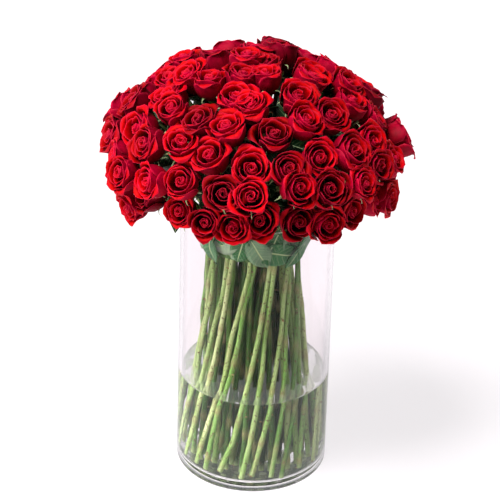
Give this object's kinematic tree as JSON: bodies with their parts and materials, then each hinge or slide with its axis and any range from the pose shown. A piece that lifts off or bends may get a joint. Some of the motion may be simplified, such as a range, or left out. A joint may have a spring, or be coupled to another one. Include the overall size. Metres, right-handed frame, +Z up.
{
  "type": "roses in a vase",
  "caption": "Domed bunch of long-stemmed red roses, tied in a spiral and standing in water in a tall clear glass cylinder vase.",
  "frame": {"origin": "middle of the vase's flat foot, on the vase's axis", "axes": "+Z up along the vase, -Y towards the front, +X to the right"},
  "size_m": [0.3939, 0.387, 0.5854],
  "materials": {
    "vase_glass": "gloss",
    "water": "gloss",
    "rose_petal": "matte",
    "rose_stem": "satin",
    "rose_leaf": "satin",
    "tie": "matte"
  },
  "bodies": {
    "root": {"vase": "vase_glass", "water": "water", "rose_pair_01": "rose_petal", "rose_pair_02": "rose_petal", "rose_pair_03": "rose_petal", "rose_pair_04": "rose_petal", "rose_pair_05": "rose_petal", "rose_pair_06": "rose_petal", "rose_pair_07": "rose_petal", "rose_pair_08": "rose_petal", "rose_pair_09": "rose_petal", "rose_pair_10": "rose_petal", "rose_pair_11": "rose_petal", "rose_pair_12": "rose_petal", "rose_pair_13": "rose_petal", "rose_pair_14": "rose_petal", "rose_pair_15": "rose_petal", "rose_pair_16": "rose_petal", "rose_pair_17": "rose_petal", "rose_pair_18": "rose_petal", "rose_pair_19": "rose_petal", "rose_pair_20": "rose_petal", "rose_pair_21": "rose_petal", "rose_pair_22": "rose_petal", "rose_pair_23": "rose_petal", "rose_pair_24": "rose_petal", "rose_pair_25": "rose_petal", "rose_pair_26": "rose_petal", "rose_pair_27": "rose_petal", "rose_pair_28": "rose_petal", "rose_pair_29": "rose_petal", "rose_pair_30": "rose_petal", "rose_pair_31": "rose_petal", "rose_pair_32": "rose_petal", "rose_pair_33": "rose_petal", "rose_pair_34": "rose_petal", "rose_pair_35": "rose_petal", "rose_pair_36": "rose_petal", "rose_pair_37": "rose_petal", "rose_pair_38": "rose_petal", "rose_pair_39": "rose_petal", "rose_pair_40": "rose_petal", "rose_pair_41": "rose_petal", "rose_pair_42": "rose_petal", "rose_pair_43": "rose_petal", "rose_pair_44": "rose_petal", "rose_pair_45": "rose_petal", "rose_pair_46": "rose_petal", "rose_pair_47": "rose_petal", "rose_pair_48": "rose_petal", "rose_pair_49": "rose_petal", "rose_pair_50": "rose_petal", "tie": "tie", "leaf_1": "rose_leaf", "leaf_2": "rose_leaf", "leaf_3": "rose_leaf", "leaf_4": "rose_leaf", "leaf_5": "rose_leaf", "leaf_6": "rose_leaf", "leaf_7": "rose_leaf"}
  },
  "joints": []
}
